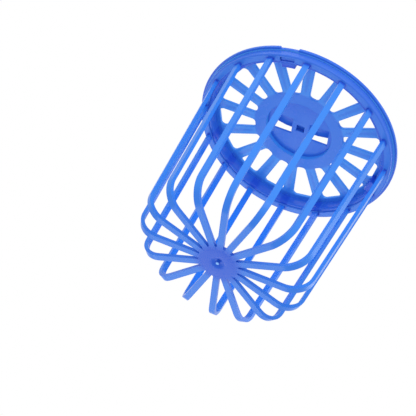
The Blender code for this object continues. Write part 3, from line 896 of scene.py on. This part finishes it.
class FOODBASKET_OT_bar(bpy.types.Operator):
    """Moulds the T-shaped bar that hangs the basket between two cage wires"""

    bl_idname = "food_basket.bar"
    bl_label = "Hanging Bar"

    def execute(self, context):
        sizes = context.scene.food_lid
        side = [(STEM_HALF, BOSS_TOP), (STEM_HALF, ARM_BOTTOM), (STEM_HALF + ARM_FLAT, ARM_BOTTOM),
                (ARM_TIP, ARM_BOTTOM + ARM_RISE), (ARM_TIP, ARM_TOP)]
        side += [(-x, z) for x, z in reversed(side)]
        bm = bmesh.new()
        start = outline(bm, [(x, -ARM_HALF, z) for x, z in side])
        grown = bmesh.ops.extrude_edge_only(
            bm, edges=[item for item in start if isinstance(item, bmesh.types.BMEdge)])["geom"]
        for vert in (item for item in grown if isinstance(item, bmesh.types.BMVert)):
            vert.co.y = ARM_HALF
        bmesh.ops.holes_fill(bm, edges=bm.edges, sides=0)
        welded(bm)
        foot = next(face for face in bm.faces if all(vert.co.z < BOSS_TOP + WELD for vert in face.verts))
        bmesh.ops.inset_region(bm, faces=[foot], thickness=STEM_HALF - CORE_HALF_LENGTH, use_even_offset=True)
        bmesh.ops.inset_region(bm, faces=[foot], thickness=CORE_DRAFT, depth=-CORE_DEPTH,
                               use_even_offset=True)
        bmesh.ops.recalc_face_normals(bm, faces=bm.faces)
        soften(bm, corner_edges(bm, lambda vert: vert.co.z > BOSS_TOP + WELD and (
            abs(vert.co.x) > CORE_HALF_LENGTH + 0.0005 or abs(vert.co.y) > CORE_HALF_WIDTH + 0.0005)),
               sizes.rounding, 4)
        finished("moulded_hanging_bar", bm, "lid", ["hanging_bar"])
        return {"FINISHED"}


def soft_lamp(name, place, target, size, power):
    """A large square lamp that faces a point."""
    data = bpy.data.lights.new(name, "AREA")
    data.shape = "SQUARE"
    data.size = size
    data.energy = power
    lamp = bpy.data.objects.new(name, data)
    bpy.context.scene.collection.objects.link(lamp)
    lamp.location = place
    lamp.rotation_euler = (Vector(target) - Vector(place)).to_track_quat("-Z", "Y").to_euler()


class FOODBASKET_OT_stage(bpy.types.Operator):
    """Sets the pale floor, the soft lamps, the world and the camera"""

    bl_idname = "food_basket.stage"
    bl_label = "Stage"

    def floor(self, sizes):
        """A round pale floor that fades out round the object, and that is clear from beneath."""
        bm = bmesh.new()
        bmesh.ops.create_circle(bm, cap_ends=True, segments=sizes.floor_steps, radius=FLOOR_RADIUS)
        bmesh.ops.translate(bm, verts=bm.verts, vec=(0, 0, -FLOOR_DROP))
        mesh = bpy.data.meshes.new("floor")
        bm.to_mesh(mesh)
        bm.free()
        material = bpy.data.materials.new("pale_floor")
        shading = Shading(material)
        place = shading.node("ShaderNodeTexCoord").outputs["Object"]
        haze = shading.node("ShaderNodeTexNoise", None, {"Vector": place, "Scale": 3.0, "Detail": 2.0})
        paint = shading.mixed(haze.outputs[0], *FLOOR_COLOURS)
        matt = shading.node("ShaderNodeBsdfDiffuse", None, {"Color": paint})
        clear = shading.node("ShaderNodeBsdfTransparent")
        under = shading.wire(shading.node("ShaderNodeNewGeometry").outputs["Backfacing"])
        x, y, _ = shading.parts(place)
        fade = shading.ramp(off_axis(x, y), *FLOOR_FADE)
        both = shading.node("ShaderNodeMixShader", None,
                            {0: under.larger(fade), 1: matt.outputs[0], 2: clear.outputs[0]})
        shading.node("ShaderNodeOutputMaterial", None, {"Surface": both.outputs[0]})
        mesh.materials.append(material)
        thing = bpy.data.objects.new("floor", mesh)
        bpy.context.scene.collection.objects.link(thing)
        thing.visible_diffuse = False
        thing.visible_glossy = False
        thing.visible_shadow = False

    def surround(self, sizes):
        """A white world to the eye and to reflections, and a dimmer one as light."""
        world = bpy.data.worlds.new("surround")
        shading = Shading(world)
        path = shading.node("ShaderNodeLightPath")
        seen = shading.wire(path.outputs["Is Camera Ray"]).larger(shading.wire(path.outputs["Is Glossy Ray"]))
        seen = seen.larger(shading.wire(path.outputs["Is Transmission Ray"]))
        light = seen * (1.0 - sizes.ambient) + sizes.ambient
        back = shading.node("ShaderNodeBackground", None, {"Color": (1, 1, 1, 1), "Strength": light})
        shading.node("ShaderNodeOutputWorld", None, {"Surface": back.outputs[0]})
        bpy.context.scene.world = world

    def camera(self, sizes):
        """The photograph's viewpoint."""
        data = bpy.data.cameras.new("camera")
        data.sensor_width = 36.0
        data.lens = sizes.lens
        data.clip_start = 0.01
        camera = bpy.data.objects.new("camera", data)
        bpy.context.scene.collection.objects.link(camera)
        turn = Matrix((CAMERA_RIGHT, [-value for value in CAMERA_DOWN],
                       [-value for value in CAMERA_AHEAD])).transposed().to_4x4()
        camera.matrix_world = Matrix.Translation(CAMERA_PLACE) @ turn
        bpy.context.scene.camera = camera

    def execute(self, context):
        sizes = context.scene.food_stage
        context.scene.view_settings.view_transform = "Standard"
        self.floor(sizes)
        self.surround(sizes)
        self.camera(sizes)
        middle = Vector(LAMP_AIM)
        ahead = Vector(CAMERA_AHEAD)
        right = Vector(CAMERA_RIGHT)
        up = -Vector(CAMERA_DOWN)
        soft_lamp("key", middle - ahead * 0.61 + right * 0.26 + up * 0.45, middle, 0.5, sizes.key_power)
        soft_lamp("fill", middle + ahead.reflect(AXIS) * 0.8, middle, 0.5, sizes.fill_power)
        soft_lamp("edge", middle + ahead * 0.4 + right * 0.6 - up * 0.35, middle, 0.5, sizes.edge_power)
        soft_lamp("top", (-0.35, -0.35, 0.9), middle, 0.6, sizes.top_power)
        return {"FINISHED"}


class FOODBASKET_PT_sidebar(bpy.types.Panel):
    """Lists the basket's sizes and the steps that mould it"""

    bl_idname = "FOODBASKET_PT_sidebar"
    bl_label = "Food Basket"
    bl_space_type = "VIEW_3D"
    bl_region_type = "UI"
    bl_category = "Food Basket"

    def draw(self, context):
        for group in (context.scene.food_basket, context.scene.food_lid, context.scene.food_finish,
                      context.scene.food_stage):
            box = self.layout.box()
            for name in group.bl_rna.properties.keys():
                if name not in ("rna_type", "name"):
                    box.prop(group, name)
        for step in STEPS:
            self.layout.operator(step.bl_idname)


STEPS = (FOODBASKET_OT_rim, FOODBASKET_OT_ribs, FOODBASKET_OT_hub, FOODBASKET_OT_crown,
         FOODBASKET_OT_grille, FOODBASKET_OT_boss, FOODBASKET_OT_bar, FOODBASKET_OT_stage)
GROUPS = {"food_basket": BasketSizes, "food_lid": LidSizes, "food_finish": FinishSizes,
          "food_stage": StageSizes}


def register():
    for group in GROUPS.values():
        bpy.utils.register_class(group)
    for name, group in GROUPS.items():
        setattr(bpy.types.Scene, name, PointerProperty(type=group))
    for step in STEPS + (FOODBASKET_PT_sidebar,):
        bpy.utils.register_class(step)


def unregister():
    for step in reversed(STEPS + (FOODBASKET_PT_sidebar,)):
        bpy.utils.unregister_class(step)
    for name in GROUPS:
        delattr(bpy.types.Scene, name)
    for group in GROUPS.values():
        bpy.utils.unregister_class(group)


def main():
    """Moulds every piece in turn, then sets the stage."""
    register()
    bpy.ops.food_basket.rim()
    bpy.ops.food_basket.ribs()
    bpy.ops.food_basket.hub()
    bpy.ops.food_basket.crown()
    bpy.ops.food_basket.grille()
    bpy.ops.food_basket.boss()
    bpy.ops.food_basket.bar()
    bpy.ops.food_basket.stage()


if __name__ == "__main__":
    main()
